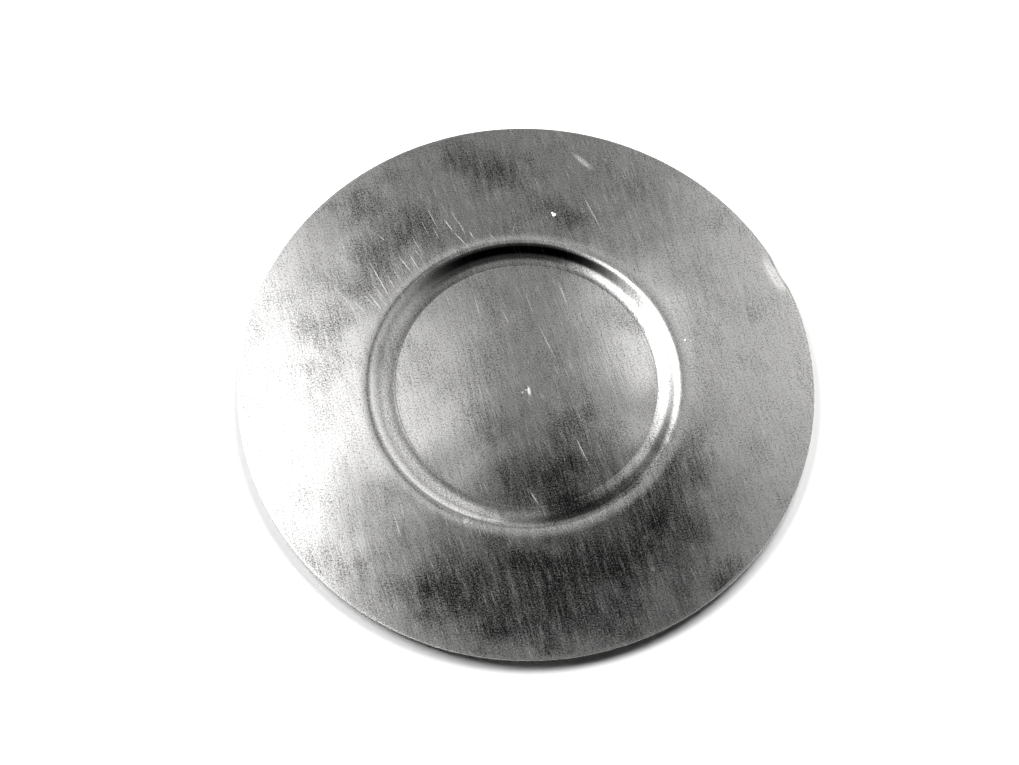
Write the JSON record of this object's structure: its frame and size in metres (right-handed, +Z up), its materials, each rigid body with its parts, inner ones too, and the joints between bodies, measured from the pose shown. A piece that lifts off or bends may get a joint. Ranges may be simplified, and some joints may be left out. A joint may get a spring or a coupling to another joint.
{
  "type": "paten plate",
  "caption": "Shallow round communion paten with a broad flat rim, a round well with an ogee wall, and a thin wire edge, in satin silver.",
  "frame": {"origin": "centre of the plate's round outline, on the flat underside of the well, which is the surface it rests on", "axes": "+Z up, along the plate's axis; X and Y lie in the plane it rests on"},
  "size_m": [0.16, 0.16, 0.0031],
  "materials": {
    "dish": "satin silver, tarnished and finely scratched",
    "edge_wire": "burnished silver"
  },
  "bodies": {
    "root": {"dish": "dish", "edge_wire": "edge_wire"}
  },
  "joints": []
}
